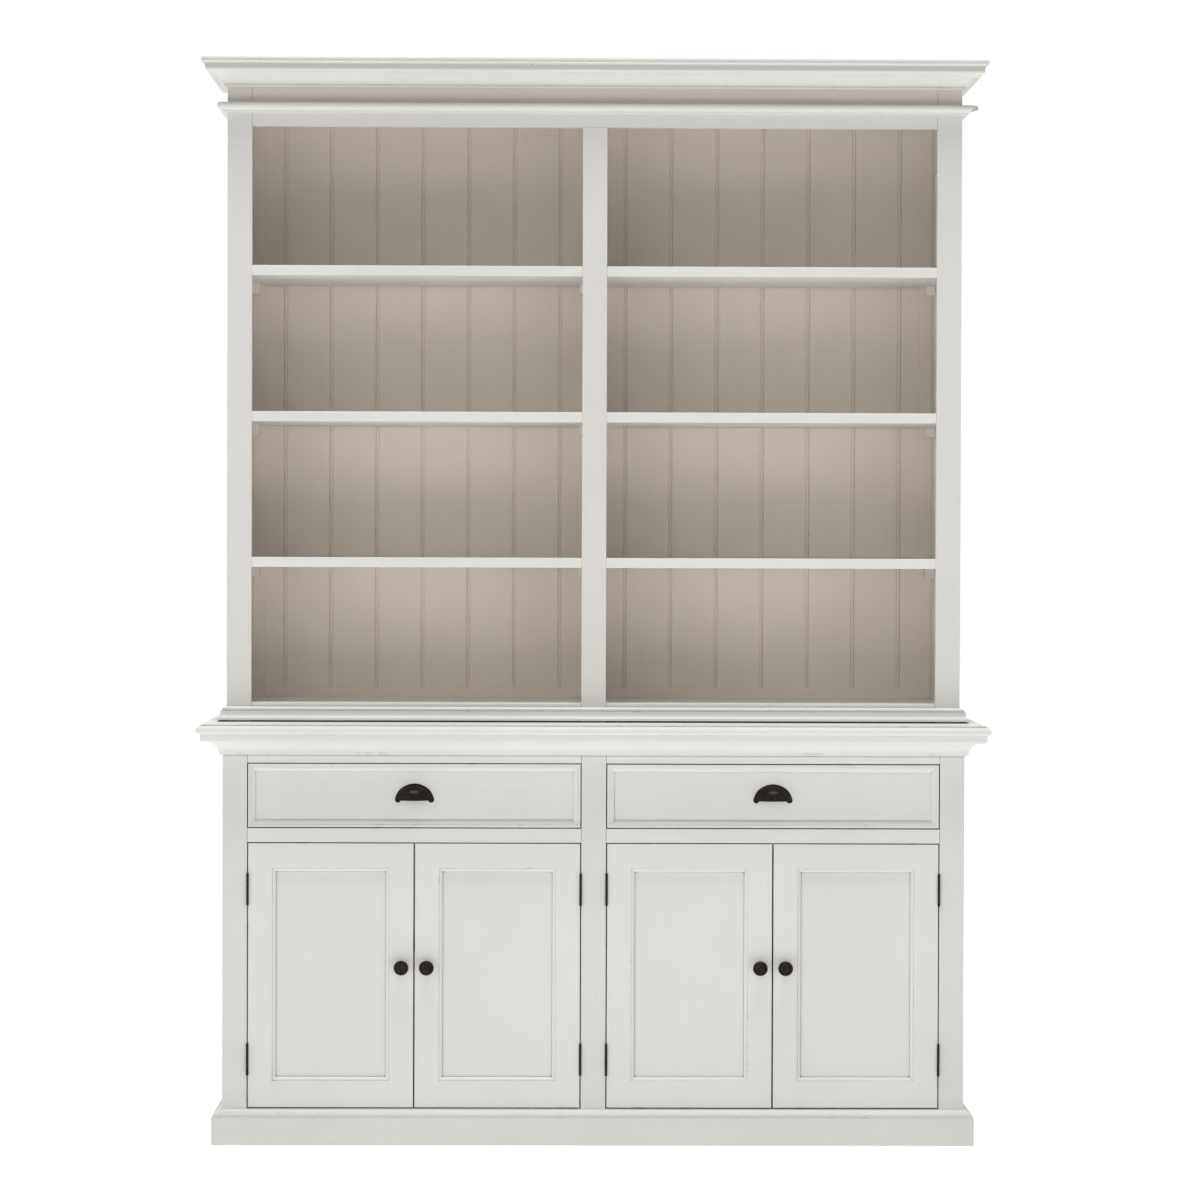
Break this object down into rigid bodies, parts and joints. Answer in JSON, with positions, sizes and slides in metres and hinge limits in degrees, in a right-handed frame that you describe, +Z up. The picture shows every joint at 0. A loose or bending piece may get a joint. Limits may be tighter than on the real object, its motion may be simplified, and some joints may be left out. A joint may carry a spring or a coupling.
{
  "type": "hutch bookcase",
  "caption": "Painted hutch with an open shelved bookcase above a cupboard base with drawers and panelled doors.",
  "frame": {"origin": "on the floor under the middle of the counter board, which is the middle of the bounding box", "axes": "+X to the right seen from the front, +Y to the back (the wall), +Z up; the doors and drawers face -Y"},
  "size_m": [1.6, 0.5, 2.2],
  "materials": {
    "painted_wood": "satin paint, lightly rubbed",
    "dark_hardware": "satin",
    "catch_steel": "brushed"
  },
  "bodies": {
    "cabinet": {"base_back_boards": "painted_wood", "base_floor": "painted_wood", "base_partition": "painted_wood", "base_rails": "painted_wood", "base_side_left": "painted_wood", "base_side_right": "painted_wood", "base_stiles": "painted_wood", "cornice_board": "painted_wood", "cornice_moulding": "painted_wood", "counter_moulding": "painted_wood", "counter_top": "painted_wood", "cupboard_shelf_cleats": "painted_wood", "cupboard_shelves": "painted_wood", "door_catches": "catch_steel", "door_stops": "painted_wood", "drawer_kickers": "painted_wood", "drawer_runners": "painted_wood", "frieze_bead": "painted_wood", "hinge_frame_leaves": "dark_hardware", "hutch_back_boards": "painted_wood", "hutch_back_frame": "painted_wood", "hutch_base_moulding": "painted_wood", "hutch_bottom_rails": "painted_wood", "hutch_ceiling": "painted_wood", "hutch_floor": "painted_wood", "hutch_frieze_rail": "painted_wood", "hutch_partition": "painted_wood", "hutch_shelf_cleats": "painted_wood", "hutch_shelves_left": "painted_wood", "hutch_shelves_right": "painted_wood", "hutch_side_left": "painted_wood", "hutch_side_right": "painted_wood", "hutch_stiles": "painted_wood", "plinth": "painted_wood"},
    "door_left_outer": {"door_left_outer_frame": "painted_wood", "door_left_outer_hardware": "dark_hardware", "door_left_outer_panel": "painted_wood"},
    "door_left_inner": {"door_left_inner_frame": "painted_wood", "door_left_inner_hardware": "dark_hardware", "door_left_inner_panel": "painted_wood"},
    "door_right_inner": {"door_right_inner_frame": "painted_wood", "door_right_inner_hardware": "dark_hardware", "door_right_inner_panel": "painted_wood"},
    "door_right_outer": {"door_right_outer_frame": "painted_wood", "door_right_outer_hardware": "dark_hardware", "door_right_outer_panel": "painted_wood"},
    "drawer_left": {"drawer_left_bottom": "painted_wood", "drawer_left_box": "painted_wood", "drawer_left_front": "painted_wood", "drawer_left_pull": "dark_hardware"},
    "drawer_right": {"drawer_right_bottom": "painted_wood", "drawer_right_box": "painted_wood", "drawer_right_front": "painted_wood", "drawer_right_pull": "dark_hardware"}
  },
  "joints": [
    {"name": "door_left_outer_hinge", "type": "hinge", "parent": "cabinet", "child": "door_left_outer", "pos_m": [-0.6988, -0.2026, 0.3425], "axis": [0, 0, -1], "range_deg": [0, 110]},
    {"name": "door_left_inner_hinge", "type": "hinge", "parent": "cabinet", "child": "door_left_inner", "pos_m": [-0.0262, -0.2026, 0.3425], "axis": [0, 0, 1], "range_deg": [0, 90]},
    {"name": "door_right_inner_hinge", "type": "hinge", "parent": "cabinet", "child": "door_right_inner", "pos_m": [0.0262, -0.2026, 0.3425], "axis": [0, 0, -1], "range_deg": [0, 90]},
    {"name": "door_right_outer_hinge", "type": "hinge", "parent": "cabinet", "child": "door_right_outer", "pos_m": [0.6988, -0.2026, 0.3425], "axis": [0, 0, 1], "range_deg": [0, 110]},
    {"name": "drawer_left_slide", "type": "slide", "parent": "cabinet", "child": "drawer_left", "axis": [0, -1, 0], "range_m": [0, 0.3]},
    {"name": "drawer_right_slide", "type": "slide", "parent": "cabinet", "child": "drawer_right", "axis": [0, -1, 0], "range_m": [0, 0.3]}
  ]
}
